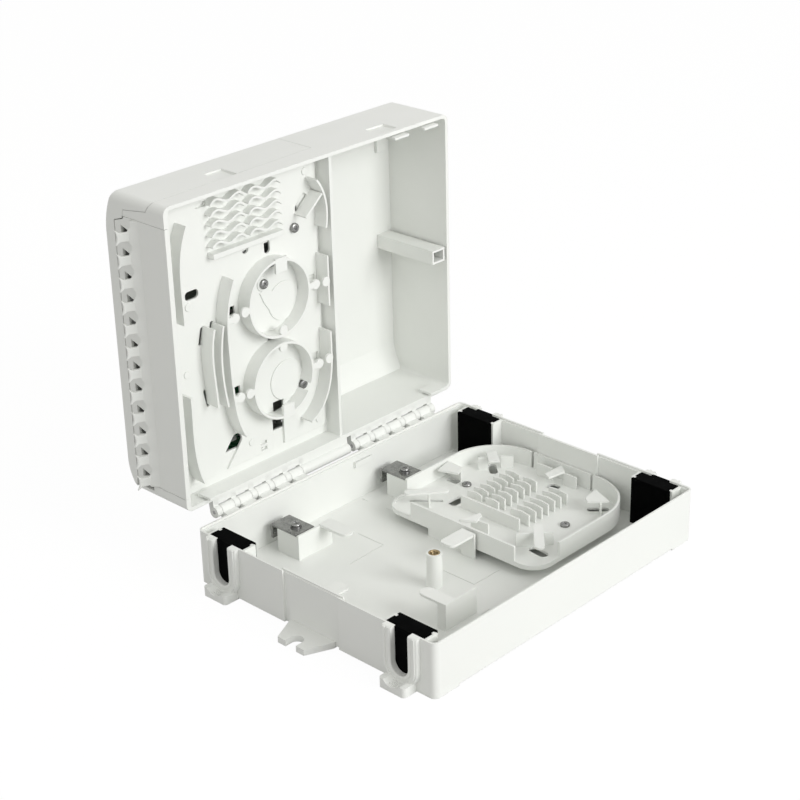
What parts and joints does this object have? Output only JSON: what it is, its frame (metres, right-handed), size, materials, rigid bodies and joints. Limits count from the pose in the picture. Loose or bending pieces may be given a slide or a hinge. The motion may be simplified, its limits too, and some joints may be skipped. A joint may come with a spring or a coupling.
{
  "type": "fibre distribution box",
  "caption": "Wall-mounted fibre distribution box with a hinged deep lid, splice tray, routing panel, drop cable comb and rubber cable glands, standing open",
  "frame": {"origin": "centre of the back face, midway between the slots of the two wall ears", "axes": "+X along the main hinge, +Y from the front long wall to the hinge wall, +Z away from the wall"},
  "size_m": [0.342, 0.323, 0.3],
  "materials": {
    "white_plastic": "fine satin moulding",
    "black_rubber": "matt moulded rubber",
    "steel": "zinc plated",
    "brass": "turned",
    "bracket_steel": "light grey powder coat",
    "green_plastic": "moulded"
  },
  "bodies": {
    "base": {"base_shell": "white_plastic", "gland_rear_left": "black_rubber", "gland_front_left": "black_rubber", "gland_rear_right": "black_rubber", "gland_front_right": "black_rubber", "clamp_plate_left": "steel", "clamp_plate_right": "steel", "clamp_screws": "steel", "clamp_washers": "steel", "brass_insert": "brass", "splice_tray": "white_plastic", "tray_screws": "steel", "hinge_pin_left": "steel", "hinge_pin_right": "steel"},
    "lid": {"middle_frame": "white_plastic", "drop_cable_comb": "white_plastic", "routing_panel": "white_plastic", "panel_screws": "steel", "adapter_bracket": "bracket_steel", "adapters": "green_plastic", "bracket_screws": "steel", "cover_hinge_pins": "steel"},
    "cover": {"front_cover": "white_plastic"}
  },
  "joints": [
    {"name": "lid_hinge", "type": "hinge", "parent": "base", "child": "lid", "pos_m": [0, 0.1325, 0.045], "axis": [1, 0, 0], "range_deg": [0, 90]},
    {"name": "cover_hinge", "type": "hinge", "parent": "lid", "child": "cover", "pos_m": [-0.067, 0.1925, 0.059], "axis": [1, 0, 0], "range_deg": [-100, 0]}
  ]
}
